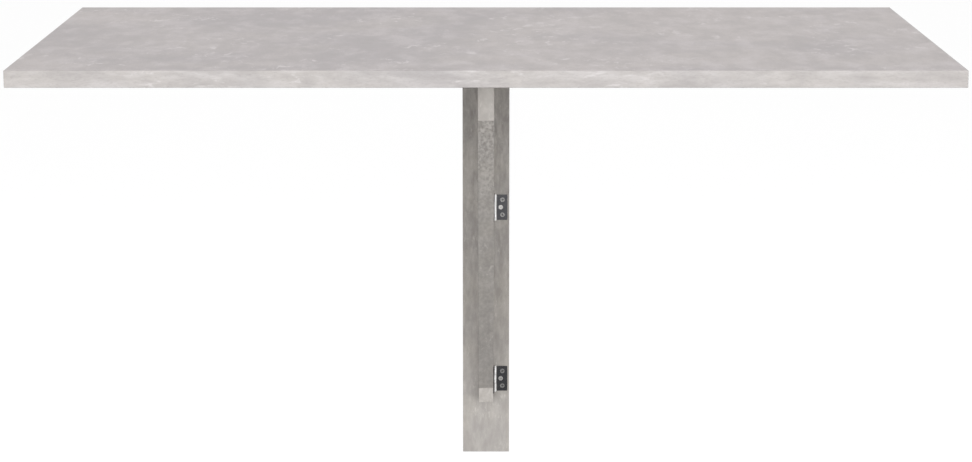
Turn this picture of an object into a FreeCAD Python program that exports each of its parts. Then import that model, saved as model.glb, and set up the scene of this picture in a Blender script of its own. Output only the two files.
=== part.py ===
import FreeCAD, Part
import os
from collections import namedtuple

from FreeCAD import Placement, Rotation, Vector

# A drop leaf table that hangs on a wall. Millimetres, +Z up, the wall is the plane y = 0 and the
# front looks towards -Y. The origin is the middle of the back rail's rear face.

# Boards
BOARD = 18.0
EDGE_BAND = 1.0
BAND_ROUND = 0.6

# Overall sizes
TOP_WIDTH = 1000.0
REACH = 600.0
OVERALL_HEIGHT = 560.0
WALL_GAP = 5.0

# Back rail and hinge ledge
RAIL_END_SETBACK = 50.0
RAIL_HEIGHT = 60.0
LEDGE_DEPTH = 62.0
LIFT_GAP = 2.0
WALL_HOLE_RADIUS = 3.0
WALL_HOLE_END_SETBACK = 50.0
WALL_HOLE_INNER_SHARE = 1 / 6

# Post
POST_WIDTH = 58.0
POST_BELOW_BRACKET = 72.0

# Swinging bracket
BRACKET_SETBACK = 156.0
BRACKET_POST_GAP = 0.5
BRACKET_TOP_GAP = 1.5
BRACKET_NOSE_HEIGHT = 36.5
TOE_LENGTH = 29.5
TOE_HEIGHT = 18.0
LOWER_HINGE_RISE = 23.5
UPPER_HINGE_HEIGHT_SHARE = 0.54

# Rest block under the top
REST_SETBACK = 26.0
REST_LENGTH = 80.0
REST_RIGHT = 8.0
REST_LEFT = 40.0
REST_LIP_OVERLAP = 2.5
REST_LIP_GAP = 0.6
REST_CHAMFER = 2.0
PAD_THICKNESS = 3.0
PAD_LIP_GAP = 0.4
PAD_INSET = 2.0
PAD_BRACKET_GAP = 0.3

# Hinges. A plate reaches out from the pin and its screws stand in a zigzag.
RUNNING_CLEARANCE = 0.05
KNUCKLE_GAP = 0.3
SEAT_GAP = 0.25
PIN_HEAD_LIP = 0.5
PIN_HEAD_HEIGHT = 0.8
PLATE_CORNER = 1.5
HingeSize = namedtuple(
    "HingeSize",
    "length plate thickness pin_radius knuckles screw_spread outer_reach inner_reach screw",
)
ScrewSize = namedtuple("ScrewSize", "head_radius shank_radius length")
TOP_PLATE_MARGIN = 3.0
TOP_HINGE_SPREAD_SHARE = 0.4
BRACKET_HINGE = HingeSize(
    length=32.0,
    plate=15.5,
    thickness=1.0,
    pin_radius=1.0,
    knuckles=3,
    screw_spread=9.5,
    outer_reach=9.2,
    inner_reach=7.1,
    screw=ScrewSize(head_radius=2.8, shank_radius=1.5, length=14.0),
)
TOP_HINGE = HingeSize(
    length=60.0,
    plate=BOARD - TOP_PLATE_MARGIN,
    thickness=1.2,
    pin_radius=1.25,
    knuckles=5,
    screw_spread=22.0,
    outer_reach=9.5,
    inner_reach=7.5,
    screw=ScrewSize(head_radius=3.0, shank_radius=1.6, length=15.0),
)

# Fasteners
SCREW_CLEARANCE = 0.05
SCREW_COVER = 6.0
LEDGE_SCREW = ScrewSize(head_radius=5.0, shank_radius=2.5, length=50.0)
LEDGE_SCREW_SHARES = (-0.36, -0.12, 0.12, 0.36)
POST_SCREW = ScrewSize(head_radius=4.0, shank_radius=2.0, length=2 * BOARD - SCREW_COVER)
POST_SCREW_SIDE_SHARE = 0.25
STRIP_SCREW_SHARES = (0.15, 0.5, 0.85)
REST_SCREW_SHARES = (0.25, 0.75)
DOWEL_RADIUS = 4.0
DOWEL_RAIL_DEPTH = 18.0
DOWEL_SHARES = (-0.46, -0.24, 0.24, 0.46)

# One overrun serves all cuts
OVERRUN = 1.0

# Heights and depths that follow from the sizes above
RAIL_LENGTH = TOP_WIDTH - 2 * RAIL_END_SETBACK
RAIL_TOP = RAIL_HEIGHT / 2
LEDGE_TOP = RAIL_TOP + BOARD
TOP_UNDER = LEDGE_TOP + LIFT_GAP
TOP_FACE = TOP_UNDER + BOARD
POST_FOOT = TOP_FACE - OVERALL_HEIGHT
POST_FACE = -2 * BOARD
BRACKET_HEAD = RAIL_TOP - BRACKET_TOP_GAP
BRACKET_FOOT = POST_FOOT + POST_BELOW_BRACKET
BRACKET_REAR = POST_FACE - BRACKET_POST_GAP
BRACKET_FRONT = BRACKET_SETBACK - REACH
REST_FRONT = BRACKET_FRONT + REST_SETBACK
PAD_FOOT = BRACKET_HEAD + PAD_BRACKET_GAP
REST_SEAT = PAD_FOOT + PAD_THICKNESS
REST_FOOT = BRACKET_HEAD - REST_LIP_OVERLAP

PARTS_FOLDER = "parts"


def save(node, *solids):
    """Write the solids of one node to its STEP file."""
    shape = solids[0] if len(solids) == 1 else Part.makeCompound(list(solids))
    shape.exportStep(os.path.join(PARTS_FOLDER, node + ".step"))


def block(x, y, z):
    """A box between the low and high values of x, y and z."""
    corner = Vector(x[0], y[0], z[0])
    return Part.makeBox(x[1] - x[0], y[1] - y[0], z[1] - z[0], corner)


def prism(points, sweep):
    """A closed outline of points, swept straight along a vector."""
    return Part.Face(Part.makePolygon(points + points[:1])).extrude(sweep)


def turned(points):
    """A solid turned about Z from an outline of radius and height."""
    outline = [Vector(radius, 0, height) for radius, height in points]
    face = Part.Face(Part.makePolygon(outline + outline[:1]))
    return face.revolve(Vector(), Vector(0, 0, 1), 360)


def rounded_rim(solid, on_rim, radius):
    """The solid with a small round on each edge that the test on_rim picks."""
    return solid.makeFillet(radius, [edge for edge in solid.Edges if on_rim(edge)])


def lies_on(axis, value):
    """A test for edges that lie in the plane where the axis has this value."""
    def on_plane(edge):
        box = edge.BoundBox
        low = getattr(box, axis + "Min")
        high = getattr(box, axis + "Max")
        return abs(low - value) < SCREW_CLEARANCE and abs(high - value) < SCREW_CLEARANCE
    return on_plane


def mirrored(solid):
    """The solid's mirror image at the other end of the table."""
    return solid.mirror(Vector(), Vector(1, 0, 0))


def screw(size):
    """A countersunk screw along Z, its head flush with z = 0 and its point below."""
    cone = size.head_radius - size.shank_radius
    return turned([
        (0, 0),
        (size.head_radius, 0),
        (size.shank_radius, -cone),
        (size.shank_radius, size.shank_radius - size.length),
        (0, -size.length),
    ])


def screw_hole(size):
    """The countersunk hole of such a screw, a little wider and deeper than it."""
    head = size.head_radius + SCREW_CLEARANCE
    shank = size.shank_radius + SCREW_CLEARANCE
    depth = size.length + SCREW_CLEARANCE
    return turned([
        (0, OVERRUN),
        (head, OVERRUN),
        (head, 0),
        (shank, shank - head),
        (shank, shank - depth),
        (0, -depth),
    ])


def placed(shape, point, out):
    """A copy of a shape made along Z, moved to a point and turned to face out."""
    copy = shape.copy()
    copy.Placement = Placement(point, Rotation(Vector(0, 0, 1), out))
    return copy


class Screws:
    """Screws of one size that face one way, and the holes that they need."""

    def __init__(self, size, points, out):
        self.solids = [placed(screw(size), point, out) for point in points]
        self.holes = [placed(screw_hole(size), point, out) for point in points]


class Hinge:
    """A butt hinge open at a right angle, its pin along Z.

    The fixed plate reaches along +X and seats on a face that looks towards +Y. The moving plate
    reaches along +Y and seats on a face that looks towards +X. So one is the other's mirror image.
    """

    def __init__(self, size, place):
        self.size = size
        self.radius = size.pin_radius + RUNNING_CLEARANCE + size.thickness
        self.seat = self.radius + SEAT_GAP
        fixed, fixed_screws, fixed_holes = self.plate(0)
        moving, moving_screws, moving_holes = self.plate(1)
        self.fixed = self.put(fixed, place)
        self.fixed_screws = [self.put(each, place) for each in fixed_screws]
        self.fixed_holes = [self.put(each, place) for each in fixed_holes]
        self.moving = self.put(self.swapped(moving), place)
        self.moving_screws = [self.put(self.swapped(each), place) for each in moving_screws]
        self.moving_holes = [self.put(self.swapped(each), place) for each in moving_holes]
        self.pin = self.put(self.pin_solid(), place)

    @staticmethod
    def put(shape, place):
        copy = shape.copy()
        copy.Placement = place.multiply(shape.Placement)
        return copy

    @staticmethod
    def swapped(shape):
        """The mirror image that trades X for Y."""
        return shape.mirror(Vector(), Vector(1, -1, 0))

    def spans(self, first):
        """Every second stretch of the pin, from the first or the second knuckle on."""
        count = self.size.knuckles
        span = (self.size.length - (count - 1) * KNUCKLE_GAP) / count
        starts = [index * (span + KNUCKLE_GAP) - self.size.length / 2 for index in range(count)]
        return [(start, start + span) for start in starts[first::2]]

    def plate(self, first):
        """One plate with its knuckles, screws and screw holes, reaching along +X."""
        size = self.size
        face = size.thickness - self.seat
        half = size.length / 2
        plate = block((0, size.plate), (-self.seat, face), (-half, half))
        far_corners = [
            edge for edge in plate.Edges
            if lies_on("X", size.plate)(edge) and edge.BoundBox.YLength > edge.BoundBox.ZLength
        ]
        plate = plate.makeFillet(PLATE_CORNER, far_corners)
        clear = self.radius + KNUCKLE_GAP
        for low, high in self.spans(1 - first):
            room = (low - KNUCKLE_GAP, high + KNUCKLE_GAP)
            plate = plate.cut(block((-OVERRUN, clear), (-clear, clear), room))
        for low, high in self.spans(first):
            knuckle = Part.makeCylinder(self.radius, high - low, Vector(0, 0, low))
            plate = plate.fuse(knuckle)
        bore = size.pin_radius + RUNNING_CLEARANCE
        length = size.length + 2 * OVERRUN
        plate = plate.cut(Part.makeCylinder(bore, length, Vector(0, 0, -length / 2)))
        points = [
            Vector(size.outer_reach, face, -size.screw_spread),
            Vector(size.inner_reach, face, 0),
            Vector(size.outer_reach, face, size.screw_spread),
        ]
        screws = Screws(size.screw, points, Vector(0, 1, 0))
        plate = plate.cut(screws.holes).removeSplitter()
        return plate, screws.solids, screws.holes

    def pin_solid(self):
        """The pin with a flat head at each end."""
        half = self.size.length / 2
        radius = self.size.pin_radius
        head = radius + PIN_HEAD_LIP
        end = half + PIN_HEAD_HEIGHT
        return turned([
            (0, -end), (head, -end), (head, -half), (radius, -half),
            (radius, half), (head, half), (head, end), (0, end),
        ])


def bracket_hinges():
    """The lower and the upper hinge between post and bracket."""
    radius = BRACKET_HINGE.pin_radius + RUNNING_CLEARANCE + BRACKET_HINGE.thickness
    seat = radius + SEAT_GAP
    upper_rise = UPPER_HINGE_HEIGHT_SHARE * (BRACKET_HEAD - BRACKET_FOOT)
    turn = Rotation(Vector(1, 0, 0), Vector(0, -1, 0), Vector(0, 0, -1), "XYZ")
    return [
        Hinge(BRACKET_HINGE, Placement(Vector(BOARD / 2 + seat, POST_FACE - seat, height), turn))
        for height in (BRACKET_FOOT + LOWER_HINGE_RISE, BRACKET_FOOT + upper_rise)
    ]


def top_hinges():
    """The left, middle and right hinges between ledge and top."""
    radius = TOP_HINGE.pin_radius + RUNNING_CLEARANCE + TOP_HINGE.thickness
    seat = radius + SEAT_GAP
    turn = Rotation(Vector(0, 0, -1), Vector(0, -1, 0), Vector(-1, 0, 0), "XYZ")
    spread = TOP_HINGE_SPREAD_SHARE * RAIL_LENGTH
    return [
        Hinge(TOP_HINGE, Placement(Vector(x, -LEDGE_DEPTH - seat, TOP_UNDER - seat), turn))
        for x in (-spread, 0, spread)
    ]


def ledge_screws():
    """Screws down through the ledge into the rail."""
    points = [Vector(share * RAIL_LENGTH, -BOARD / 2, LEDGE_TOP) for share in LEDGE_SCREW_SHARES]
    return Screws(LEDGE_SCREW, points, Vector(0, 0, 1))


def post_screws():
    """Screws from the wall side through the rail and the back strip into the post."""
    side = POST_SCREW_SIDE_SHARE * POST_WIDTH
    strip_top = -RAIL_HEIGHT / 2
    heights = [strip_top + share * (POST_FOOT - strip_top) for share in STRIP_SCREW_SHARES]
    points = [Vector(x, 0, 0) for x in (-side, side)]
    points += [Vector(0, 0, height) for height in heights]
    return Screws(POST_SCREW, points, Vector(0, 1, 0))


def rest_screws():
    """Screws up through the lip of the rest block into the top."""
    length = TOP_FACE - REST_FOOT - SCREW_COVER
    x = -(REST_LEFT + BOARD / 2 + REST_LIP_GAP) / 2
    points = [Vector(x, REST_FRONT + share * REST_LENGTH, REST_FOOT) for share in REST_SCREW_SHARES]
    size = ScrewSize(POST_SCREW.head_radius, POST_SCREW.shank_radius, length)
    return Screws(size, points, Vector(0, 0, -1))


def dowels(clearance):
    """Dowels between ledge and rail, or with a clearance the holes for them."""
    low = RAIL_TOP - DOWEL_RAIL_DEPTH - clearance
    high = LEDGE_TOP - SCREW_COVER + clearance
    radius = DOWEL_RADIUS + clearance
    return [
        Part.makeCylinder(radius, high - low, Vector(share * RAIL_LENGTH, -BOARD / 2, low))
        for share in DOWEL_SHARES
    ]


def make_rail_and_ledge(hinges):
    """The back rail on the wall and the ledge that carries the top's hinges."""
    half = RAIL_LENGTH / 2
    core = half - EDGE_BAND
    joining = ledge_screws()
    dowel_holes = dowels(SCREW_CLEARANCE)
    through = BOARD + 2 * OVERRUN
    outer_hole = half - WALL_HOLE_END_SETBACK
    inner_hole = WALL_HOLE_INNER_SHARE * RAIL_LENGTH
    wall_holes = [
        Part.makeCylinder(WALL_HOLE_RADIUS, through, Vector(x, OVERRUN, 0), Vector(0, -1, 0))
        for x in (-outer_hole, -inner_hole, inner_hole, outer_hole)
    ]
    rail = block((-core, core), (-BOARD, 0), (EDGE_BAND - RAIL_TOP, RAIL_TOP))
    save("back_rail", rail.cut(joining.holes + dowel_holes + wall_holes + post_screws().holes))
    rail_end = rounded_rim(
        block((core, half), (-BOARD, 0), (-RAIL_TOP, RAIL_TOP)),
        lambda edge: lies_on("X", half)(edge) and lies_on("Y", -BOARD)(edge), BAND_ROUND)
    rail_under = block((-core, core), (-BOARD, 0), (-RAIL_TOP, EDGE_BAND - RAIL_TOP))
    save("rail_edge_bands", rail_end, mirrored(rail_end), rail_under)
    hinge_holes = [hole for hinge in hinges for hole in hinge.fixed_holes]
    ledge = block((-core, core), (EDGE_BAND - LEDGE_DEPTH, 0), (RAIL_TOP, LEDGE_TOP))
    save("hinge_ledge", ledge.cut(joining.holes + dowel_holes + hinge_holes))
    band = block((-half, half), (-LEDGE_DEPTH, EDGE_BAND - LEDGE_DEPTH), (RAIL_TOP, LEDGE_TOP))
    save("ledge_front_edge_band", band.cut(hinge_holes))
    ledge_end = rounded_rim(
        block((core, half), (EDGE_BAND - LEDGE_DEPTH, 0), (RAIL_TOP, LEDGE_TOP)),
        lambda edge: lies_on("X", half)(edge) and lies_on("Z", LEDGE_TOP)(edge), BAND_ROUND)
    save("ledge_end_bands", ledge_end, mirrored(ledge_end))
    save("ledge_screws", *joining.solids)
    save("ledge_dowels", *dowels(0))


def make_post(hinges):
    """The post, its edge bands and the strip that spaces it from the wall."""
    half = POST_WIDTH / 2
    core = half - EDGE_BAND
    joining = post_screws()
    depth = (POST_FACE, -BOARD)
    hinge_holes = [hole for hinge in hinges for hole in hinge.fixed_holes]
    board = block((-core, core), depth, (POST_FOOT + EDGE_BAND, RAIL_TOP))
    save("post", board.cut(joining.holes + hinge_holes))
    outer = block((-half, half), depth, (POST_FOOT, RAIL_TOP))
    on_face = lies_on("Y", POST_FACE)
    on_head = lies_on("Z", RAIL_TOP)
    outer = rounded_rim(outer, lambda edge: on_face(edge) and not on_head(edge), BAND_ROUND)
    save("post_edge_band", outer.cut(board))
    strip = block((-half, half), (-BOARD, 0), (POST_FOOT, -RAIL_TOP))
    save("post_back_strip", strip.cut(joining.holes))
    save("post_screws", *joining.solids)


def bracket_outline(x):
    """The bracket's outline at one x: a sloped board with a square nose and a square toe."""
    toe_front = BRACKET_REAR - TOE_LENGTH
    return [
        Vector(x, BRACKET_REAR, BRACKET_HEAD),
        Vector(x, BRACKET_FRONT, BRACKET_HEAD),
        Vector(x, BRACKET_FRONT, BRACKET_HEAD - BRACKET_NOSE_HEIGHT),
        Vector(x, toe_front, BRACKET_FOOT + TOE_HEIGHT),
        Vector(x, toe_front, BRACKET_FOOT),
        Vector(x, BRACKET_REAR, BRACKET_FOOT),
    ]


def make_bracket(hinges):
    """The bracket board and the edge band that runs round it."""
    half = BOARD / 2
    through = Vector(BOARD, 0, 0)
    outline = bracket_outline(-half)
    outer = prism(outline, through)
    face = Part.Face(Part.makePolygon(outline + outline[:1]))
    core = face.makeOffset2D(-EDGE_BAND, join=2).extrude(through)
    on_side = [lies_on("X", -half), lies_on("X", half)]
    outer = rounded_rim(outer, lambda edge: any(test(edge) for test in on_side), BAND_ROUND)
    hinge_holes = [hole for hinge in hinges for hole in hinge.moving_holes]
    save("bracket_board", core.cut(hinge_holes))
    save("bracket_edge_band", outer.cut(core))


def make_top(hinges):
    """The table top, its four edge bands, and the rest block with its felt pad."""
    half = TOP_WIDTH / 2
    core = half - EDGE_BAND
    front = -REACH
    rear = -WALL_GAP
    height = (TOP_UNDER, TOP_FACE)
    screws = rest_screws()
    hinge_holes = [hole for hinge in hinges for hole in hinge.moving_holes]
    between = (front + EDGE_BAND, rear - EDGE_BAND)
    board = block((-core, core), between, height)
    save("table_top", board.cut(screws.holes + hinge_holes))
    bands = {
        "top_front_edge_band": ((-half, half), (front, front + EDGE_BAND), lies_on("Y", front)),
        "top_rear_edge_band": ((-half, half), (rear - EDGE_BAND, rear), lies_on("Y", rear)),
        "top_left_edge_band": ((-half, -core), between, lies_on("X", -half)),
        "top_right_edge_band": ((core, half), between, lies_on("X", half)),
    }
    for node, (x, y, outer_rim) in bands.items():
        save(node, rounded_rim(block(x, y, height), outer_rim, BAND_ROUND))
    make_rest_block(screws)


def make_rest_block(screws):
    """The block that rests on the bracket, with a lip at its left that stops it."""
    lip = -BOARD / 2 - REST_LIP_GAP
    outline = [
        Vector(-REST_LEFT, REST_FRONT, TOP_UNDER),
        Vector(REST_RIGHT, REST_FRONT, TOP_UNDER),
        Vector(REST_RIGHT, REST_FRONT, REST_SEAT),
        Vector(lip, REST_FRONT, REST_SEAT),
        Vector(lip, REST_FRONT, REST_FOOT),
        Vector(REST_CHAMFER - REST_LEFT, REST_FRONT, REST_FOOT),
        Vector(-REST_LEFT, REST_FRONT, REST_FOOT + REST_CHAMFER),
    ]
    save("rest_block", prism(outline, Vector(0, REST_LENGTH, 0)).cut(screws.holes))
    save("rest_block_screws", *screws.solids)
    pad_y = (REST_FRONT + PAD_INSET, REST_FRONT + REST_LENGTH - PAD_INSET)
    pad_z = (PAD_FOOT, REST_SEAT)
    save("rest_block_pad", block((lip + PAD_LIP_GAP, REST_RIGHT), pad_y, pad_z))


def make_hinges(places, hinges, fixed_to, moving_to, kind):
    """The plates and pins of some hinges, a node each, and their screws in two groups."""
    for place, hinge in zip(places, hinges):
        save(place + "_" + kind + "_" + fixed_to + "_plate", hinge.fixed)
        save(place + "_" + kind + "_" + moving_to + "_plate", hinge.moving)
        save(place + "_" + kind + "_pin", hinge.pin)
    save(kind + "_" + fixed_to + "_screws", *[each for hinge in hinges for each in hinge.fixed_screws])
    save(kind + "_" + moving_to + "_screws", *[each for hinge in hinges for each in hinge.moving_screws])


def main():
    os.makedirs(PARTS_FOLDER, exist_ok=True)
    on_post = bracket_hinges()
    on_ledge = top_hinges()
    make_rail_and_ledge(on_ledge)
    make_post(on_post)
    make_bracket(on_post)
    make_top(on_ledge)
    make_hinges(("lower", "upper"), on_post, "post", "bracket", "bracket_hinge")
    make_hinges(("left", "middle", "right"), on_ledge, "ledge", "top", "top_hinge")


main()
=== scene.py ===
"""Finishes, fittings and stage for a drop leaf table that hangs on a wall."""

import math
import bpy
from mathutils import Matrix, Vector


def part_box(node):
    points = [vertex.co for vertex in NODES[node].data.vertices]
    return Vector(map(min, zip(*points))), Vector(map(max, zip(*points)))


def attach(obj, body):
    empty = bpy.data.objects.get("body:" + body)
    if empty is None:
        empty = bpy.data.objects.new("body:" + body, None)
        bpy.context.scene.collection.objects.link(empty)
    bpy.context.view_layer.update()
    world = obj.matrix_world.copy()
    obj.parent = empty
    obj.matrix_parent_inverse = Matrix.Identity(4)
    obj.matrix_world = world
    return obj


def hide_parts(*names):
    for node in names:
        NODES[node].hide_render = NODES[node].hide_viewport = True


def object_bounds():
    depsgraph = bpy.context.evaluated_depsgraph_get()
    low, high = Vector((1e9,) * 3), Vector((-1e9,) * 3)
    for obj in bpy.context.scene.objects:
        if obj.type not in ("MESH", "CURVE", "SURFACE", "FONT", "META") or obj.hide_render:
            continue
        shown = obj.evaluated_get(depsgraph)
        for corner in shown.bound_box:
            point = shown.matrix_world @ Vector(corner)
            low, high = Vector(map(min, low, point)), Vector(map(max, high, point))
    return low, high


bl_info = {
    "name": "Drop Leaf Table",
    "version": (1, 0, 0),
    "blender": (4, 5, 0),
    "location": "View3D > Sidebar > Table",
    "description": "Finishes a wall hung drop leaf table and sets its stage",
    "category": "Object",
}

from typing import NamedTuple

import bmesh
import bpy
from bpy.props import FloatProperty, FloatVectorProperty, PointerProperty
from mathutils import Matrix, Vector

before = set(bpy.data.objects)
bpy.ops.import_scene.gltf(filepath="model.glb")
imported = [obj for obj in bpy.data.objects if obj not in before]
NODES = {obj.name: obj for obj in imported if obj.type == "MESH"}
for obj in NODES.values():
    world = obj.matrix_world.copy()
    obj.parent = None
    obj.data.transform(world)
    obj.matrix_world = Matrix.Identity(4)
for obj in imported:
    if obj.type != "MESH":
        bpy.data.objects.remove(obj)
CAD_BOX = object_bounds()
MM = 0.001


# Settings that a user would change

class LaminateSettings(bpy.types.PropertyGroup):
    """Colours and marks of the concrete print"""

    ground: FloatVectorProperty(
        name="Ground", description="Middle grey of the concrete print",
        subtype="COLOR", size=3, min=0, max=1, default=(0.408, 0.386, 0.384))
    pale: FloatVectorProperty(
        name="Pale", description="Pale trowel marks of the concrete print",
        subtype="COLOR", size=3, min=0, max=1, default=(0.589, 0.563, 0.558))
    dark: FloatVectorProperty(
        name="Dark", description="Dark streaks and pits of the concrete print",
        subtype="COLOR", size=3, min=0, max=1, default=(0.313, 0.293, 0.287))
    warm: FloatVectorProperty(
        name="Warm", description="Sandy tint that drifts through the print",
        subtype="COLOR", size=3, min=0, max=1, default=(0.462, 0.435, 0.421))
    streak_width: FloatProperty(
        name="Streak width", description="Width of a typical streak of the print",
        subtype="DISTANCE", min=0.001, default=0.026)
    contrast: FloatProperty(
        name="Contrast", description="How strongly streaks and pits show",
        subtype="FACTOR", min=0, max=1, default=0.52)
    scuffing: FloatProperty(
        name="Scuffing", description="How strongly the pale trowel scuffs show",
        subtype="FACTOR", min=0, max=1, default=0.8)
    roughness: FloatProperty(
        name="Roughness", description="How dull the laminate is",
        subtype="FACTOR", min=0, max=1, default=0.52)


class FittingSettings(bpy.types.PropertyGroup):
    """Colours and edges of the hinges, the screws and the rest block"""

    plate: FloatVectorProperty(
        name="Plate", description="Colour of the large hinges' plates",
        subtype="COLOR", size=3, min=0, max=1, default=(0.50, 0.50, 0.51))
    screw: FloatVectorProperty(
        name="Screw", description="Colour of the screws",
        subtype="COLOR", size=3, min=0, max=1, default=(0.22, 0.217, 0.213))
    # Painted shade: the dull screws' cross recesses are coloured dark
    recess: FloatVectorProperty(
        name="Recess", description="Colour of the screws' dark cross recesses",
        subtype="COLOR", size=3, min=0, max=1, default=(0.06, 0.059, 0.057))
    # Painted highlight: the post screws nearest the knuckles are coloured light all over, recess too
    highlit_screw: FloatVectorProperty(
        name="Rubbed screw", description="Colour of the post screws nearest the knuckles",
        subtype="COLOR", size=3, min=0, max=1, default=(0.42, 0.41, 0.40))
    pin: FloatVectorProperty(
        name="Pin", description="Colour of the hinge pins",
        subtype="COLOR", size=3, min=0, max=1, default=(0.70, 0.69, 0.68))
    # Small hinges: the plate colour is a painted dark reflection and the knuckle colour a painted
    # highlight
    plate_dark_reflection: FloatVectorProperty(
        name="Dark plate", description="Colour of the small hinges' plates",
        subtype="COLOR", size=3, min=0, max=1, default=(0.05, 0.05, 0.053))
    bright: FloatVectorProperty(
        name="Bright", description="Colour of the small hinges' rubbed knuckles",
        subtype="COLOR", size=3, min=0, max=1, default=(0.90, 0.89, 0.88))
    # Colour of every hinge plate's broken edge: partly wear, partly a painted highlight along the rim
    worn_highlit_edge: FloatVectorProperty(
        name="Worn edge", description="Colour of the hinge plates' rubbed edges",
        subtype="COLOR", size=3, min=0, max=1, default=(0.66, 0.65, 0.64))
    # Width of the painted highlight down each small hinge's knuckle
    knuckle: FloatProperty(
        name="Knuckle", description="Width of the small hinges' bright knuckles",
        subtype="DISTANCE", default=0.0041)
    plate_edge: FloatProperty(
        name="Plate edge", description="Width of the broken edge round a hinge plate",
        subtype="DISTANCE", min=0, default=0.00045)
    block_edge: FloatProperty(
        name="Block edge", description="Width of the soft edge round the rest block",
        subtype="DISTANCE", min=0, default=0.0009)
    felt: FloatVectorProperty(
        name="Felt", description="Colour of the felt pad",
        subtype="COLOR", size=3, min=0, max=1, default=(0.075, 0.071, 0.067))
    block: FloatVectorProperty(
        name="Block", description="Colour of the moulded rest block",
        subtype="COLOR", size=3, min=0, max=1, default=(0.30, 0.295, 0.285))


class StageSettings(bpy.types.PropertyGroup):
    """The floor, the camera and the lights"""

    table_height: FloatProperty(
        name="Table height", description="Height of the top above the floor",
        subtype="DISTANCE", min=0.3, default=0.75)
    floor_size: FloatProperty(
        name="Floor size", description="Side of the square floor",
        subtype="DISTANCE", min=1, default=60.0)
    camera_distance: FloatProperty(
        name="Camera distance", description="How far the camera stands from the wall",
        subtype="DISTANCE", min=0.1, default=3.558)
    camera_height: FloatProperty(
        name="Camera height", description="Camera height above the middle of the back rail",
        subtype="DISTANCE", default=0.4603)
    camera_tilt: FloatProperty(
        name="Camera tilt", description="How far the camera looks down",
        subtype="ANGLE", default=math.radians(10.746))
    lens: FloatProperty(
        name="Lens", description="Focal length in millimetres on a 36 mm sensor",
        subtype="DISTANCE_CAMERA", min=10, default=106.56)
    sky: FloatProperty(
        name="Sky", description="Strength of the even white light from above",
        min=0, default=1.0)
    ground_light: FloatProperty(
        name="Ground light", description="Strength of the even light from below",
        min=0, default=0.12)
    key: FloatProperty(
        name="Key light", description="Power of the large soft light in front",
        subtype="POWER", min=0, default=124.0)
    side: FloatProperty(
        name="Side lights", description="Power of the left side light; the right one is stronger",
        subtype="POWER", min=0, default=13.0)


def laminate_settings():
    return bpy.context.scene.table_laminate


def fitting_settings():
    return bpy.context.scene.table_fittings


def stage_settings():
    return bpy.context.scene.table_stage


# Materials

class Noise(NamedTuple):
    """A noise pattern: its marks to the metre, then its octaves, their weight and its warp."""

    per_metre: float
    detail: float
    roughness: float
    distortion: float = 0.0


# Where most of a noise's values lie, and how far a roughness strays with them
NOISE_REACH = (0.3, 0.7)
SMOOTHER = 0.06
ROUGHER = 0.08

NO_SHIFT = (0.0, 0.0, 0.0)


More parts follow.
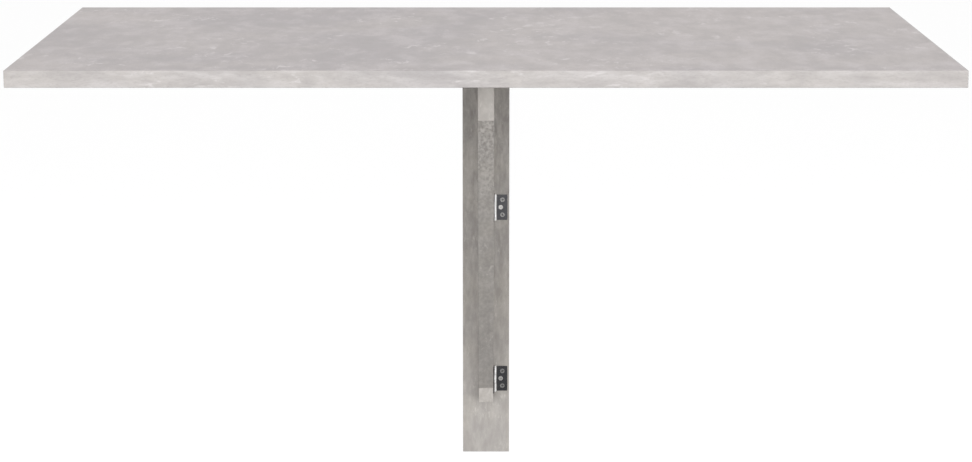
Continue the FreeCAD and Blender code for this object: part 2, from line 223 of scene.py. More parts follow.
class Finish:
    """A material and short ways to add nodes to it."""

    def __init__(self, name):
        self.material = bpy.data.materials.new(name)
        self.material.use_nodes = True
        self.tree = self.material.node_tree
        self.shader = self.tree.nodes["Principled BSDF"]
        self.place = self.tree.nodes.new("ShaderNodeTexCoord").outputs["Object"]

    def link(self, source, target):
        self.tree.links.new(source, target)

    def fill(self, socket, value):
        """Link a socket to another one, or set its value."""
        if isinstance(value, bpy.types.NodeSocket):
            self.link(value, socket)
        else:
            socket.default_value = value

    def give(self, name, value):
        """Link or set one of the shader's inputs."""
        self.fill(self.shader.inputs[name], value)

    def stretched(self, scale, shift=NO_SHIFT):
        """Object coordinates multiplied by a scale for each axis, then shifted."""
        mapping = self.tree.nodes.new("ShaderNodeMapping")
        mapping.inputs["Scale"].default_value = scale
        mapping.inputs["Location"].default_value = shift
        self.link(self.place, mapping.inputs["Vector"])
        return mapping.outputs["Vector"]

    def along(self, axis):
        """The object coordinate along one axis."""
        parts = self.tree.nodes.new("ShaderNodeSeparateXYZ")
        self.link(self.place, parts.inputs["Vector"])
        return parts.outputs[axis]

    def noise(self, vector, pattern):
        """A noise pattern's value at a vector's place."""
        node = self.tree.nodes.new("ShaderNodeTexNoise")
        node.inputs["Scale"].default_value = pattern.per_metre
        node.inputs["Detail"].default_value = pattern.detail
        node.inputs["Roughness"].default_value = pattern.roughness
        node.inputs["Distortion"].default_value = pattern.distortion
        self.link(vector, node.inputs["Vector"])
        return node.outputs["Fac"]

    def spread(self, value, ends, low=0.0, high=1.0):
        """A value's stretch between two ends, mapped to a new stretch and clamped."""
        node = self.tree.nodes.new("ShaderNodeMapRange")
        node.inputs["From Min"].default_value = ends[0]
        node.inputs["From Max"].default_value = ends[1]
        node.inputs["To Min"].default_value = low
        node.inputs["To Max"].default_value = high
        self.link(value, node.inputs["Value"])
        return node.outputs["Result"]

    def shown(self, value, ends, strength=1.0):
        """How strongly a mark shows: not at all at a value's first end, in full at the second."""
        return self.spread(value, ends, high=strength)

    def rising(self, heights, least=0.0):
        """A share that goes with height, from the least at the first of two to 1 at the second."""
        return self.spread(self.along("Z"), heights, low=least)

    def straying(self, value, roughness):
        """A roughness that strays a little with a noise's value."""
        return self.spread(value, NOISE_REACH, roughness - SMOOTHER, roughness + ROUGHER)

    def product(self, first, second):
        """Two values multiplied; the second may be a number."""
        node = self.tree.nodes.new("ShaderNodeMath")
        node.operation = "MULTIPLY"
        self.link(first, node.inputs[0])
        self.fill(node.inputs[1], second)
        return node.outputs["Value"]

    def mixed(self, share, first, second):
        """Two colours, each a value or a socket, mixed by a share."""
        node = self.tree.nodes.new("ShaderNodeMix")
        node.data_type = "RGBA"
        self.link(share, node.inputs["Factor"])
        for name, colour in (("A", first), ("B", second)):
            socket = next(s for s in node.inputs if s.name == name and s.type == "RGBA")
            is_socket = isinstance(colour, bpy.types.NodeSocket)
            self.fill(socket, colour if is_socket else (*colour, 1.0))
        return next(s for s in node.outputs if s.type == "RGBA")

    def bump(self, height, depth):
        """Shade the surface as if a value raised it, by up to a depth."""
        node = self.tree.nodes.new("ShaderNodeBump")
        node.inputs["Distance"].default_value = depth
        node.inputs["Strength"].default_value = 1.0
        self.link(height, node.inputs["Height"])
        self.give("Normal", node.outputs["Normal"])


def shaded(colour, share):
    """A colour made darker or lighter by a share."""
    return tuple(share * channel for channel in colour)


class Layer(NamedTuple):
    """A layer of the concrete print.

    The share is its marks' width next to a streak's, the run is how far they go along the grain, and
    the rest is as in Noise.
    """

    share: float
    run: float
    detail: float
    roughness: float
    distortion: float = 0.0


CLOUDS = Layer(share=7.0, run=1.8, detail=4.0, roughness=0.55, distortion=0.4)
PATCHES = Layer(share=3.0, run=2.0, detail=3.0, roughness=0.5)
STREAKS = Layer(share=1.0, run=4.0, detail=9.0, roughness=0.66, distortion=0.2)
SCUFFS = Layer(share=0.42, run=4.0, detail=8.0, roughness=0.68, distortion=0.5)
FINE_LINES = Layer(share=0.07, run=3.5, detail=4.0, roughness=0.6)
PITS = Layer(share=0.05, run=1.6, detail=2.0, roughness=0.5)
SPECKLE = Layer(share=0.24, run=4.0, detail=2.0, roughness=0.5)
GRIT = Layer(share=0.026, run=3.0, detail=5.0, roughness=0.6)

# A layer's values at which its marks start to show, and at which they show in full
WARM_CLOUD = (0.40, 0.60)
PALE_STREAK = (0.49, 0.64)
DARK_STREAK = (0.49, 0.34)
FINE_LINE = (0.48, 0.32)
SCUFF = (0.55, 0.63)
SCUFFED_PATCH = (0.50, 0.59)
PIT = (0.29, 0.22)
PALE_SPECK = (0.52, 0.64)
DARK_SPECK = (0.47, 0.36)

# Heights between which the speckle thins out downwards, what is left of it at the lower one, and the
# width of its soft upper edge
SPECKLE_HIGH = -8.5 * MM
SPECKLE_LOW = -150 * MM
SPECKLE_LEAST = 0.25
SPECKLE_EDGE = 1.0 * MM

FINE_STRENGTH = 0.7
GRIT_DEPTH = 0.06 * MM
LAMINATE_SPECULAR = 0.3


class Print(NamedTuple):
    """How the concrete print lies on a board.

    The grain names the axes that its streaks run along. Run, size and strength are shares of the usual.
    A fade is two heights, where the streaks are faintest and where they show in full, and a share that
    is left of them. The shift is the place in the pattern where the board starts.
    """

    grain: str
    tint: tuple = (1.0, 1.0, 1.0)
    run: float = 1.0
    size: float = 1.0
    strength: float = 1.0
    speckle: float = 0.0
    fade: tuple = ()
    shift: tuple = NO_SHIFT


def concrete(name, lay):
    """Laminate with a concrete print, laid as a Print says."""
    look = laminate_settings()
    contrast = min(1.0, lay.strength * look.contrast)
    finish = Finish(name)

    def marks(layer):
        along = 1.0 / max(1.0, lay.run * layer.run)
        scale = [along if axis in lay.grain else 1.0 for axis in "XYZ"]
        per_metre = 1.0 / (layer.share * lay.size * look.streak_width)
        pattern = Noise(per_metre, layer.detail, layer.roughness, layer.distortion)
        return finish.noise(finish.stretched(scale, lay.shift), pattern)

    def tone(colour):
        return tuple(min(1.0, share * channel) for share, channel in zip(lay.tint, colour))

    pale = tone(look.pale)
    dark = tone(look.dark)
    streaks = marks(STREAKS)
    warm_clouds = finish.shown(marks(CLOUDS), WARM_CLOUD)
    plain = finish.mixed(warm_clouds, tone(look.ground), tone(look.warm))
    colour = finish.mixed(finish.shown(streaks, PALE_STREAK, contrast), plain, pale)
    colour = finish.mixed(finish.shown(streaks, DARK_STREAK, contrast), colour, dark)
    fine_lines = finish.shown(marks(FINE_LINES), FINE_LINE, FINE_STRENGTH * contrast)
    colour = finish.mixed(fine_lines, colour, dark)
    if lay.fade:
        *heights, least = lay.fade
        colour = finish.mixed(finish.rising(heights, least), plain, colour)
    patches = finish.shown(marks(PATCHES), SCUFFED_PATCH)
    scuffs = finish.product(finish.shown(marks(SCUFFS), SCUFF), patches)
    colour = finish.mixed(finish.product(scuffs, look.scuffing), colour, pale)
    colour = finish.mixed(finish.shown(marks(PITS), PIT, contrast), colour, dark)
    if lay.speckle:
        below_nose = finish.rising((SPECKLE_HIGH + SPECKLE_EDGE, SPECKLE_HIGH))
        thinning = finish.rising((SPECKLE_LOW, SPECKLE_HIGH), SPECKLE_LEAST)
        share = finish.product(below_nose, thinning)
        specks = marks(SPECKLE)
        for ends, mark in ((PALE_SPECK, pale), (DARK_SPECK, dark)):
            strength = finish.product(finish.shown(specks, ends, lay.speckle), share)
            colour = finish.mixed(strength, colour, mark)
    finish.give("Base Color", colour)
    finish.give("Roughness", finish.straying(streaks, look.roughness))
    finish.give("Specular IOR Level", LAMINATE_SPECULAR)
    finish.bump(marks(GRIT), GRIT_DEPTH)
    return finish.material


SPANGLE = Noise(per_metre=900.0, detail=3.0, roughness=0.55)
SPANGLE_ENDS = (0.35, 0.65)
SPANGLE_SHADE = 0.78
SCRATCHES = Noise(per_metre=2600.0, detail=4.0, roughness=0.6)
SCRATCH_SCALE = (1.0, 1.0, 0.06)
SCRATCH_DEPTH = 0.01 * MM


def spangled(finish, colour):
    """A metal's colour with a faint spangle."""
    spangle = finish.shown(finish.noise(finish.place, SPANGLE), SPANGLE_ENDS)
    return finish.mixed(spangle, shaded(colour, SPANGLE_SHADE), colour)


def scratched(finish):
    """Give a metal fine scratches as bumps, and return their noise."""
    scratches = finish.noise(finish.stretched(SCRATCH_SCALE), SCRATCHES)
    finish.bump(scratches, SCRATCH_DEPTH)
    return scratches


def zinc(name, colour, roughness):
    """Zinc plate with faint spangle and fine scratches."""
    finish = Finish(name)
    finish.give("Base Color", spangled(finish, colour))
    finish.give("Roughness", finish.straying(scratched(finish), roughness))
    finish.give("Metallic", 1.0)
    return finish.material


DARK_PLATE_ROUGHNESS = 0.28
KNUCKLE_ROUGHNESS = 0.48


def reflection_and_highlight_steel(name, plate, knuckle, axis, plate_side, knuckle_side):
    """Plated steel, dark on its plates as a painted dark reflection and light on its knuckles as a
    painted highlight, which change over between two places along an axis.
    """
    finish = Finish(name)
    scratched(finish)
    on_plate = finish.shown(finish.along(axis), (knuckle_side, plate_side))
    colour = finish.mixed(on_plate, spangled(finish, knuckle), spangled(finish, plate))
    finish.give("Base Color", colour)
    roughness = finish.spread(on_plate, (0.0, 1.0), KNUCKLE_ROUGHNESS, DARK_PLATE_ROUGHNESS)
    finish.give("Roughness", roughness)
    finish.give("Metallic", 1.0)
    return finish.material


MOULD_GRAIN = Noise(per_metre=1400.0, detail=4.0, roughness=0.6)
MOULD_FLOW = Noise(per_metre=30.0, detail=3.0, roughness=0.5)
MOULD_SHADE = 0.85
MOULD_ROUGHNESS = 0.54
MOULD_GRAIN_DEPTH = 0.06 * MM


def moulded(name, colour):
    """Moulded plastic with a fine spark grain."""
    finish = Finish(name)
    grain = finish.noise(finish.place, MOULD_GRAIN)
    flow = finish.noise(finish.place, MOULD_FLOW)
    finish.give("Base Color", finish.mixed(flow, shaded(colour, MOULD_SHADE), colour))
    finish.give("Roughness", finish.straying(grain, MOULD_ROUGHNESS))
    finish.bump(grain, MOULD_GRAIN_DEPTH)
    return finish.material


FIBRES = Noise(per_metre=900.0, detail=8.0, roughness=0.75, distortion=2.5)
FIBRE_ENDS = (0.47, 0.62)
FIBRE_SHADE = 3.2
FIBRE_DEPTH = 0.7 * MM
CLUMPS = Noise(per_metre=220.0, detail=4.0, roughness=0.6)
CLUMP_ENDS = (0.35, 0.65)
CLUMP_SHADE = 1.5
FELT_ROUGHNESS = 0.95
FELT_SHEEN = 0.4


def felt(name, colour):
    """Pressed felt: matted fibres that run every way."""
    finish = Finish(name)
    fibres = finish.noise(finish.place, FIBRES)
    clumps = finish.shown(finish.noise(finish.place, CLUMPS), CLUMP_ENDS)
    base = finish.mixed(clumps, colour, shaded(colour, CLUMP_SHADE))
    shade = finish.mixed(finish.shown(fibres, FIBRE_ENDS), base, shaded(colour, FIBRE_SHADE))
    finish.give("Base Color", shade)
    finish.give("Roughness", FELT_ROUGHNESS)
    finish.give("Sheen Weight", FELT_SHEEN)
    finish.bump(fibres, FIBRE_DEPTH)
    return finish.material


BEECH_GRAIN = Noise(per_metre=900.0, detail=5.0, roughness=0.6)
BEECH_GRAIN_SCALE = (1.0, 1.0, 0.08)
BEECH_GRAIN_DEPTH = 0.1 * MM
BEECH_DARK = (0.42, 0.27, 0.14)
BEECH_PALE = (0.62, 0.45, 0.27)
BEECH_ROUGHNESS = 0.6


def beech(name):
    """Straight grained beech for the dowels."""
    finish = Finish(name)
    grain = finish.noise(finish.stretched(BEECH_GRAIN_SCALE), BEECH_GRAIN)
    finish.give("Base Color", finish.mixed(grain, BEECH_DARK, BEECH_PALE))
    finish.give("Roughness", BEECH_ROUGHNESS)
    finish.bump(grain, BEECH_GRAIN_DEPTH)
    return finish.material


def paint(material, *names, rim=None):
    """Give CAD nodes a material in place of their own, and perhaps another for their broken edges."""
    for name in names:
        mesh = NODES[name].data
        mesh.materials.clear()
        mesh.materials.append(material)
        if rim:
            mesh.materials.append(rim)


WELD_REACH = 0.002 * MM
SHARP_EDGE = math.radians(40)
BROKEN_EDGE_SEGMENTS = 2


def break_edges(width, *names):
    """Join a CAD node's triangles and break its sharp edges, in the last of its materials."""
    for name in names:
        weld = NODES[name].modifiers.new("Joined", "WELD")
        weld.merge_threshold = WELD_REACH
        edge = NODES[name].modifiers.new("Broken edge", "BEVEL")
        edge.width = width
        edge.segments = BROKEN_EDGE_SEGMENTS
        edge.limit_method = "ANGLE"
        edge.angle_limit = SHARP_EDGE
        edge.material = len(NODES[name].data.materials) - 1
        even = NODES[name].modifiers.new("Even shading", "WEIGHTED_NORMAL")
        even.keep_sharp = True


# New pieces

MERGE_REACH = 0.01 * MM
SORT_DIGITS = 5


def piece_from(bm, name, materials, body, slot, *nodes):
    """A finished bmesh as a piece that rides on a body and stands for CAD nodes."""
    mesh = bpy.data.meshes.new(name)
    bm.to_mesh(mesh)
    bm.free()
    for material in materials:
        mesh.materials.append(material)
    piece = bpy.data.objects.new(name, mesh)
    bpy.context.scene.collection.objects.link(piece)
    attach(piece, body)
    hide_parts(*nodes)
    return piece


def loose_solids(name):
    """The low and high corners of each separate solid in a CAD node, from the least x up."""
    bm = bmesh.new()
    bm.from_mesh(NODES[name].data)
    bmesh.ops.remove_doubles(bm, verts=bm.verts, dist=MERGE_REACH)
    left = set(bm.verts)
    boxes = []
    while left:
        found = [left.pop()]
        for vert in found:
            for edge in vert.link_edges:
                other = edge.other_vert(vert)
                if other in left:
                    left.remove(other)
                    found.append(other)
        low = Vector([min(v.co[i] for v in found) for i in range(3)])
        high = Vector([max(v.co[i] for v in found) for i in range(3)])
        boxes.append((low, high))
    bm.free()
    return sorted(boxes, key=lambda box: tuple(round(c, SORT_DIGITS) for c in box[0]))


# A screw has 24 sides, so that the corners of its cross recess all fall on a side's corner. Shares are
# of the head's or the shank's radius, of the thread's pitch or of the length below the head.
SCREW_SIDES = 24
SIDE_ANGLE = 2 * math.pi / SCREW_SIDES
CROSS_ARM_SHARE = 0.62
CROSS_HALF_WIDTH_SHARE = CROSS_ARM_SHARE * math.tan(SIDE_ANGLE)
RECESS_DEPTH_SHARE = 0.55
RECESS_TAPER_SHARE = 0.45
RIM_SHARE = 0.05
POINT_LENGTH_SHARE = 2.0
POINT_RADIUS_SHARE = 0.2
NEARLY_NONE = 0.001
THREAD_START_SHARE = 0.3
THREAD_PITCH_SHARE = 0.85
THREAD_RISE_SHARE = 0.3
THREAD_CREST_SHARE = 0.3
THREAD_FOOT_SHARE = 0.6
THREAD_STEPS = 12


def only(kind, items):
    """The items of a bmesh result that are of one kind."""
    return [item for item in items if isinstance(item, kind)]


def put_on_outline(vert, crossed, size, height):
    """Move a ring's vertex to a round or cross outline of a size, at its own angle."""
    toward = Vector((vert.co.x, vert.co.y)).normalized()
    share = 1.0
    if crossed:
        less, more = sorted((abs(toward.x), abs(toward.y)))
        share = min(CROSS_ARM_SHARE / more, CROSS_HALF_WIDTH_SHARE / max(less, NEARLY_NONE))
    vert.co = (size * share * toward.x, size * share * toward.y, height)


def lofted(bm, outlines, outside, inside):
    """Skin a row of outlines and close both ends, the first end and its skin in the inside material."""
    verts = bmesh.ops.create_circle(bm, segments=SCREW_SIDES, radius=1.0, cap_ends=True)["verts"]
    for vert in verts:
        put_on_outline(vert, *outlines[0])
    edges = bm.edges[:]
    bm.faces.ensure_lookup_table()
    bm.faces[0].material_index = inside
    for count, outline in enumerate(outlines[1:]):
        made = bmesh.ops.extrude_edge_only(bm, edges=edges)["geom"]
        verts = set(only(bmesh.types.BMVert, made))
        edges = [edge for edge in only(bmesh.types.BMEdge, made) if verts.issuperset(edge.verts)]
        for face in only(bmesh.types.BMFace, made):
            face.material_index = outside if count else inside
        for vert in verts:
            put_on_outline(vert, *outline)
    bmesh.ops.contextual_create(bm, geom=edges)


def add_thread(bm, shank_radius, start, end):
    """A helical ridge round the shank, closed at both ends."""
    pitch = THREAD_PITCH_SHARE * shank_radius
    turns = int((start - end) / pitch)
    core = (1 - THREAD_RISE_SHARE) * shank_radius
    crest = start - THREAD_CREST_SHARE * pitch
    foot = start - THREAD_FOOT_SHARE * pitch
    profile = [(core, start), (shank_radius, crest), (core, foot)]
    corners = [bm.verts.new((radius, 0, height)) for radius, height in profile]
    edges = [bm.edges.new((corners[i - 1], corners[i])) for i in range(len(corners))]
    made = bmesh.ops.spin(
        bm, geom=corners + edges, cent=(0, 0, 0), axis=(0, 0, 1), angle=2 * math.pi * turns,
        dvec=(0, 0, -pitch / THREAD_STEPS), steps=THREAD_STEPS * turns, use_merge=False)
    bm.faces.new(corners)
    bm.faces.new(only(bmesh.types.BMVert, made["geom_last"]))


def add_screw(bm, point, out, head_radius, shank_radius, length, turn, head_finish, recess_finish):
    """A countersunk screw with a cross recess, a thread and a point, its head at a point."""
    screw = bmesh.new()
    cone = head_radius - shank_radius
    core = (1 - THREAD_RISE_SHARE) * shank_radius
    start = -cone - THREAD_START_SHARE * (length - cone)
    tip = POINT_LENGTH_SHARE * shank_radius - length
    rim = RIM_SHARE * head_radius
    lofted(screw, [
        (True, RECESS_TAPER_SHARE * head_radius, -RECESS_DEPTH_SHARE * head_radius),
        (True, head_radius, 0),
        (False, head_radius - rim, 0),
        (False, head_radius, -rim),
        (False, shank_radius, -cone),
        (False, shank_radius, start),
        (False, core, start - rim),
        (False, core, tip),
        (False, POINT_RADIUS_SHARE * core, -length),
    ], head_finish, recess_finish)
    add_thread(screw, shank_radius, start, tip)
    bmesh.ops.recalc_face_normals(screw, faces=screw.faces)
    turned = Vector((0, 0, 1)).rotation_difference(out).to_matrix().to_4x4()
    place = Matrix.Translation(point) @ turned @ Matrix.Rotation(turn, 4, "Z")
    bmesh.ops.transform(screw, matrix=place, verts=screw.verts)
    mesh = bpy.data.meshes.new("screw")
    screw.to_mesh(mesh)
    screw.free()
    bm.from_mesh(mesh)
    bpy.data.meshes.remove(mesh)


# How much further each screw is turned than the one before it, in radians
SCREW_TURN_STEP = 0.7

SCREW_ROUGHNESS = 0.30
RECESS_ROUGHNESS = 0.50
# Screw material slots: a dull head, painted shade in a dull head's recess, and a head with a painted
# highlight
DULL_HEAD, RECESS_SHADE, HIGHLIT_HEAD = range(3)


def screw_finishes():
    """The materials of a screw's head, of its recess with painted shade, and of a head with a painted
    highlight.
    """
    look = fitting_settings()
    return [
        zinc("screw_zinc", look.screw, SCREW_ROUGHNESS),
        zinc("recess_shade_steel", look.recess, RECESS_ROUGHNESS),
        zinc("highlit_zinc", look.highlit_screw, SCREW_ROUGHNESS),
    ]


def make_screws(node, out, body, shank_radius, finishes, highlit=0):
    """Detailed screws in place of a CAD group whose heads all face out.

    The first few, from the least x up, get a painted highlight over head and recess; the others get
    painted shade in their recesses.
    """
    bm = bmesh.new()
    axis = max(range(3), key=lambda i: abs(out[i]))
    for count, (low, high) in enumerate(loose_solids(node)):
        point = (low + high) / 2
        point[axis] = high[axis] if out[axis] > 0 else low[axis]
        head_radius = (high - low)[(axis + 1) % 3] / 2
        length = (high - low)[axis]
        head, recess = (HIGHLIT_HEAD, HIGHLIT_HEAD) if count < highlit else (DULL_HEAD, RECESS_SHADE)
        turn = SCREW_TURN_STEP * count
        add_screw(bm, point, out, head_radius, shank_radius, length, turn, head, recess)
    piece_from(bm, node + "_detailed", finishes, body, "screw_steel", node)


BLOCK_LEAST_EDGE = 4 * MM
FLAT_ANGLE = math.radians(1)
SOFT_EDGE_SEGMENTS = 3


def make_block():
    """The moulded rest block: the CAD shape with its long edges softened and its screw holes sharp."""
    look = fitting_settings()
    bm = bmesh.new()
    bm.from_mesh(NODES["rest_block"].data)
    bmesh.ops.remove_doubles(bm, verts=bm.verts, dist=MERGE_REACH)
    bmesh.ops.dissolve_limit(bm, angle_limit=FLAT_ANGLE, verts=bm.verts, edges=bm.edges)
    long_edges = [
        edge for edge in bm.edges
        if edge.calc_length() > BLOCK_LEAST_EDGE and edge.calc_face_angle(0.0) > SHARP_EDGE
    ]
    bmesh.ops.bevel(
        bm, geom=long_edges, offset=look.block_edge, affect="EDGES",
        segments=SOFT_EDGE_SEGMENTS, profile=0.5, material=-1)
    bmesh.ops.recalc_face_normals(bm, faces=bm.faces)
    finish = moulded("moulded_grey", look.block)
    piece_from(bm, "rest_block_moulded", [finish], "tabletop", "block_plastic", "rest_block")


PAD_ROUND = 0.6 * MM
PAD_FUZZ = 0.12 * MM
PAD_LONG_EDGE = 10 * MM
PAD_LONG_CUTS = 24
PAD_WIDE_EDGE = 5 * MM
PAD_WIDE_CUTS = 6

# Steps of waves that have no common measure, so that the felt's unevenness shows no pattern
QUICK_WAVE = 12.9898
SLOW_WAVE = 4.1414
SLOW_WAVE_START = 1.0
SIDE_WAVE = 7.233


def split_long_edges(bm, axis, least, cuts):
    """Cut the edges that reach further along an axis than the least, and the faces between them."""
    edges = [e for e in bm.edges if abs((e.verts[0].co - e.verts[1].co)[axis]) > least]
    bmesh.ops.subdivide_edges(bm, edges=edges, cuts=cuts, use_grid_fill=True)


def make_pad():
    """The felt pad: a flat slab with soft edges and an uneven matted face."""
    low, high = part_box("rest_block_pad")
    bm = bmesh.new()
    bmesh.ops.create_cube(bm, size=1.0)
    bmesh.ops.scale(bm, vec=high - low - Vector((2 * PAD_FUZZ, 2 * PAD_FUZZ, 0)), verts=bm.verts)
    bmesh.ops.translate(bm, vec=(low + high) / 2, verts=bm.verts)
    bmesh.ops.bevel(
        bm, geom=bm.edges[:], offset=PAD_ROUND, affect="EDGES",
        segments=SOFT_EDGE_SEGMENTS, profile=0.5, material=-1)
    split_long_edges(bm, 1, PAD_LONG_EDGE, PAD_LONG_CUTS)
    split_long_edges(bm, 0, PAD_WIDE_EDGE, PAD_WIDE_CUTS)
    for count, vert in enumerate(bm.verts):
        wave = math.sin(QUICK_WAVE * count) * math.sin(SLOW_WAVE * count + SLOW_WAVE_START)
        vert.co.x += PAD_FUZZ * wave
        vert.co.y += PAD_FUZZ * math.cos(SIDE_WAVE * count)
        if vert.co.z < low.z + PAD_FUZZ:
            vert.co.z += PAD_FUZZ * (1.0 + wave)
    finish = felt("grey_felt", fitting_settings().felt)
    pad = piece_from(bm, "felt_pad", [finish], "tabletop", "felt", "rest_block_pad")


# Operators

BAND_TINT = (0.885, 0.885, 0.882)
POST_TINT = (0.885, 0.88, 0.838)
POST_LEAST = 0.4
TOP_PRINT = Print("Y", tint=(0.96, 0.937, 0.95), run=0.55, size=1.1, strength=0.9)
FRONT_BAND_PRINT = Print("X", tint=BAND_TINT, size=0.55, strength=0.95)
SIDE_BAND_PRINT = FRONT_BAND_PRINT._replace(grain="Y")
RAIL_PRINT = Print("X")
RAIL_BAND_PRINT = Print("X", tint=BAND_TINT)
POST_PRINT = Print(
    "Z", tint=POST_TINT, run=0.75, size=0.28, strength=1.7, shift=(0.13, 0.03, 0.23))
BRACKET_PRINT = Print("Z", tint=POST_TINT)
BRACKET_BAND_PRINT = Print(
    "YZ", tint=(0.93, 0.924, 0.88), run=0.45, size=0.5, strength=0.8, speckle=0.9,
    shift=(0.17, 0.07, 0.27))


class TABLE_OT_top(bpy.types.Operator):
    """Give the table top and its edge bands their concrete print"""

    bl_idname = "table.top"
    bl_label = "Table top"

    def execute(self, context):
        paint(concrete("top_concrete", TOP_PRINT), "table_top")
        front = concrete("front_band_concrete", FRONT_BAND_PRINT)
        paint(front, "top_front_edge_band", "top_rear_edge_band")
        side = concrete("side_band_concrete", SIDE_BAND_PRINT)
        paint(side, "top_left_edge_band", "top_right_edge_band")
        return {"FINISHED"}


class TABLE_OT_wall_frame(bpy.types.Operator):
    """Give the rail, the ledge and the post their concrete print"""

    bl_idname = "table.wall_frame"
    bl_label = "Wall frame"

    def execute(self, context):
        paint(concrete("rail_concrete", RAIL_PRINT), "back_rail", "hinge_ledge")
        band = concrete("rail_band_concrete", RAIL_BAND_PRINT)
        paint(band, "rail_edge_bands", "ledge_front_edge_band", "ledge_end_bands")
        low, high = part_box("post")
        faded = POST_PRINT._replace(fade=(low.z, high.z, POST_LEAST))
        paint(concrete("post_concrete", faded), "post", "post_edge_band", "post_back_strip")
        paint(beech("dowel_beech"), "ledge_dowels")
        return {"FINISHED"}


class TABLE_OT_bracket(bpy.types.Operator):
    """Give the bracket board and its edge band their concrete print"""

    bl_idname = "table.bracket"
    bl_label = "Bracket"

    def execute(self, context):
        paint(concrete("bracket_concrete", BRACKET_PRINT), "bracket_board")
        paint(concrete("bracket_band_concrete", BRACKET_BAND_PRINT), "bracket_edge_band")
        return {"FINISHED"}


KNUCKLE_FADE = 0.2 * MM
PLATE_ROUGHNESS = 0.34
WORN_HIGHLIT_ROUGHNESS = 0.30
PIN_ROUGHNESS = 0.30


class TABLE_OT_hinges(bpy.types.Operator):
    """Plate the hinges with zinc and break their edges"""

    bl_idname = "table.hinges"
    bl_label = "Hinges"

    def execute(self, context):
        look = fitting_settings()
        plates = [name for name in NODES if name.endswith("_plate")]
        pins = [name for name in NODES if name.endswith("_pin")]
        on_post = [name for name in plates if name.endswith("_post_plate")]
        on_bracket = [name for name in plates if name.endswith("_bracket_plate")]
        large = [name for name in plates if "top_hinge" in name]
        # Hinge plates' broken edges are coloured pale: partly wear, partly a painted highlight
        worn_highlit = zinc("worn_highlit_edge_zinc", look.worn_highlit_edge, WORN_HIGHLIT_ROUGHNESS)
        paint(zinc("plate_zinc", look.plate, PLATE_ROUGHNESS), *large, rim=worn_highlit)
        # The small hinges get a painted dark reflection on their plates and a painted highlight down
        # their knuckles
        colours = (look.plate_dark_reflection, look.bright)
        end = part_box(on_post[0])[0].x + look.knuckle
        post_steel = reflection_and_highlight_steel("post_plate_steel", *colours, "X", end + KNUCKLE_FADE, end)
        paint(post_steel, *on_post, rim=worn_highlit)
        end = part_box(on_bracket[0])[1].y - look.knuckle
        bracket_steel = reflection_and_highlight_steel("bracket_plate_steel", *colours, "Y", end - KNUCKLE_FADE, end)
        paint(bracket_steel, *on_bracket, rim=worn_highlit)
        paint(zinc("pin_zinc", look.pin, PIN_ROUGHNESS), *pins)
        break_edges(look.plate_edge, *plates, *pins)
        return {"FINISHED"}


# Radii of the screws' shanks, and how many on the post get a painted highlight: the middle one of each
# small hinge
SMALL_HINGE_SHANK = 1.5 * MM
LARGE_HINGE_SHANK = 1.6 * MM
BLOCK_SHANK = 2.0 * MM
POST_SHANK = 2.0 * MM
LEDGE_SHANK = 2.5 * MM
HIGHLIT_POST_SCREWS = 2


class TABLE_OT_screws(bpy.types.Operator):
    """Make every screw with its cross recess and thread"""

    bl_idname = "table.screws"
    bl_label = "Screws"

    def execute(self, context):
        front = Vector((0, -1, 0))
        right = Vector((1, 0, 0))
        down = Vector((0, 0, -1))
        finishes = screw_finishes()
        make_screws(
            "bracket_hinge_post_screws", front, "wall_frame", SMALL_HINGE_SHANK, finishes,
            highlit=HIGHLIT_POST_SCREWS)
        make_screws("bracket_hinge_bracket_screws", right, "bracket", SMALL_HINGE_SHANK, finishes)
        make_screws("top_hinge_ledge_screws", front, "wall_frame", LARGE_HINGE_SHANK, finishes)
        make_screws("top_hinge_top_screws", down, "tabletop", LARGE_HINGE_SHANK, finishes)
        make_screws("rest_block_screws", down, "tabletop", BLOCK_SHANK, finishes)
        make_screws("post_screws", -front, "wall_frame", POST_SHANK, finishes)
        make_screws("ledge_screws", -down, "wall_frame", LEDGE_SHANK, finishes)
        return {"FINISHED"}


class TABLE_OT_rest(bpy.types.Operator):
    """Finish the rest block and make its felt pad"""

    bl_idname = "table.rest"
    bl_label = "Rest block"

    def execute(self, context):
        make_block()
        make_pad()
        return {"FINISHED"}


FLOOR_SEGMENTS = 8
FLOOR_DRIFT = Noise(per_metre=0.4, detail=3.0, roughness=0.5)
FLOOR_DARK = (0.97, 0.97, 0.97)
FLOOR_PALE = (0.985, 0.985, 0.985)
FLOOR_ROUGHNESS = 0.9
FLOOR_SPECULAR = 0.1


def make_floor(settings, height):
    """A plain pale floor, far larger than the table, that throws no light back on it."""
    bm = bmesh.new()
    bmesh.ops.create_grid(
        bm, x_segments=FLOOR_SEGMENTS, y_segments=FLOOR_SEGMENTS, size=settings.floor_size / 2)
    bmesh.ops.translate(bm, vec=(0, 0, height), verts=bm.verts)
    mesh = bpy.data.meshes.new("floor")
    bm.to_mesh(mesh)
    bm.free()
    finish = Finish("pale_floor")
    drift = finish.noise(finish.place, FLOOR_DRIFT)
    finish.give("Base Color", finish.mixed(drift, FLOOR_DARK, FLOOR_PALE))
    finish.give("Roughness", FLOOR_ROUGHNESS)
    finish.give("Specular IOR Level", FLOOR_SPECULAR)
    mesh.materials.append(finish.material)
    floor = bpy.data.objects.new("floor", mesh)
    floor.visible_diffuse = False
    floor.visible_glossy = False
    bpy.context.scene.collection.objects.link(floor)


# Heights on the sky's unit sphere between which the light from below turns into that from above
HORIZON_LOW = -0.25
HORIZON_HIGH = -0.04


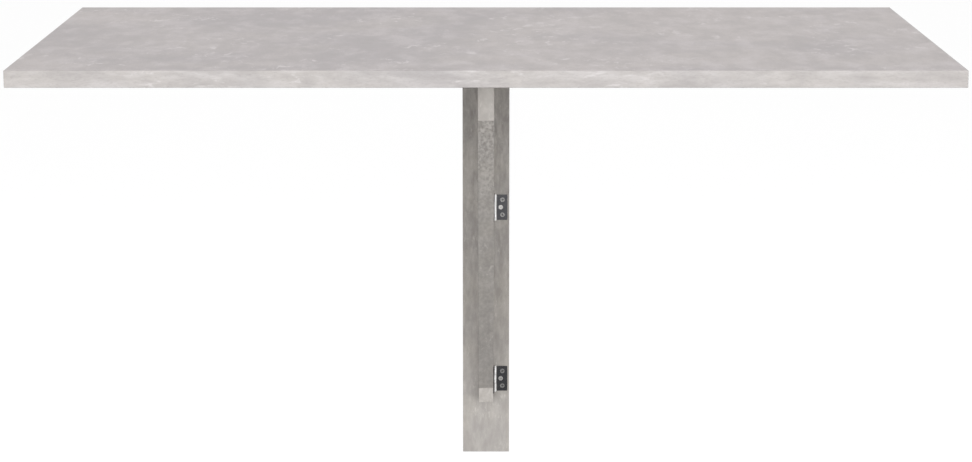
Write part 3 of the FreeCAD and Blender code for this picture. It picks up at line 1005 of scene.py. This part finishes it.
def make_sky(settings):
    """An even white light above a dimmer one, with a soft horizon between them."""
    world = bpy.data.worlds.new("studio")
    world.use_nodes = True
    nodes = world.node_tree.nodes
    links = world.node_tree.links
    parts = nodes.new("ShaderNodeSeparateXYZ")
    horizon = nodes.new("ShaderNodeMapRange")
    horizon.inputs["From Min"].default_value = HORIZON_LOW
    horizon.inputs["From Max"].default_value = HORIZON_HIGH
    horizon.inputs["To Min"].default_value = settings.ground_light
    horizon.inputs["To Max"].default_value = settings.sky
    links.new(nodes.new("ShaderNodeTexCoord").outputs["Generated"], parts.inputs["Vector"])
    links.new(parts.outputs["Z"], horizon.inputs["Value"])
    nodes["Background"].inputs["Color"].default_value = (1, 1, 1, 1)
    links.new(horizon.outputs["Result"], nodes["Background"].inputs["Strength"])
    bpy.context.scene.world = world


def make_light(name, place, target, width, height, power):
    """A soft lamp that faces a target."""
    lamp = bpy.data.lights.new(name, "AREA")
    lamp.shape = "RECTANGLE"
    lamp.size = width
    lamp.size_y = height
    lamp.energy = power
    light = bpy.data.objects.new(name, lamp)
    light.location = place
    light.visible_camera = False
    light.rotation_euler = (Vector(target) - Vector(place)).to_track_quat("-Z", "Y").to_euler()
    bpy.context.scene.collection.objects.link(light)


# Places and sizes in metres. A side light has a name, a side of the table and a share of the power.
LIGHT_TARGET = (0.0, -0.30, -0.10)
KEY_PLACE = (0.0, -4.2, 0.10)
KEY_SIZE = (3.4, 2.0)
SIDE_PLACE = (2.3, -1.6, -0.30)
SIDE_SIZE = (0.5, 2.4)
SIDE_LIGHTS = (("left_side", -1, 1.0), ("right_side", 1, 1.6))


class TABLE_OT_stage(bpy.types.Operator):
    """Set the floor, the lights and the camera"""

    bl_idname = "table.stage"
    bl_label = "Stage"

    def execute(self, context):
        settings = stage_settings()
        scene = context.scene
        make_floor(settings, CAD_BOX[1].z - settings.table_height)
        make_sky(settings)
        make_light("key", KEY_PLACE, LIGHT_TARGET, *KEY_SIZE, settings.key)
        for name, side, share in SIDE_LIGHTS:
            place = (side * SIDE_PLACE[0], *SIDE_PLACE[1:])
            make_light(name, place, LIGHT_TARGET, *SIDE_SIZE, share * settings.side)
        camera = bpy.data.objects.new("camera", bpy.data.cameras.new("camera"))
        camera.data.lens = settings.lens
        camera.location = (0, -settings.camera_distance, settings.camera_height)
        camera.rotation_euler = (math.pi / 2 - settings.camera_tilt, 0, 0)
        scene.collection.objects.link(camera)
        scene.camera = camera
        scene.view_settings.view_transform = "Standard"
        return {"FINISHED"}


class TABLE_PT_panel(bpy.types.Panel):
    """The table's operators and settings"""

    bl_idname = "TABLE_PT_panel"
    bl_label = "Drop Leaf Table"
    bl_space_type = "VIEW_3D"
    bl_region_type = "UI"
    bl_category = "Table"

    def draw(self, context):
        for operator in OPERATORS:
            self.layout.operator(operator.bl_idname)
        for group in SETTINGS:
            settings = getattr(context.scene, group)
            for name in settings.bl_rna.properties.keys():
                if name not in ("rna_type", "name"):
                    self.layout.prop(settings, name)


OPERATORS = (
    TABLE_OT_top, TABLE_OT_wall_frame, TABLE_OT_bracket, TABLE_OT_hinges, TABLE_OT_screws,
    TABLE_OT_rest, TABLE_OT_stage,
)
SETTINGS = {
    "table_laminate": LaminateSettings,
    "table_fittings": FittingSettings,
    "table_stage": StageSettings,
}


def register():
    for group, settings in SETTINGS.items():
        bpy.utils.register_class(settings)
        setattr(bpy.types.Scene, group, PointerProperty(type=settings))
    for operator in OPERATORS:
        bpy.utils.register_class(operator)
    bpy.utils.register_class(TABLE_PT_panel)


def unregister():
    bpy.utils.unregister_class(TABLE_PT_panel)
    for operator in reversed(OPERATORS):
        bpy.utils.unregister_class(operator)
    for group, settings in SETTINGS.items():
        delattr(bpy.types.Scene, group)
        bpy.utils.unregister_class(settings)


def main():
    register()
    for operator in OPERATORS:
        group, name = operator.bl_idname.split(".")
        getattr(getattr(bpy.ops, group), name)()


if __name__ == "__main__":
    main()
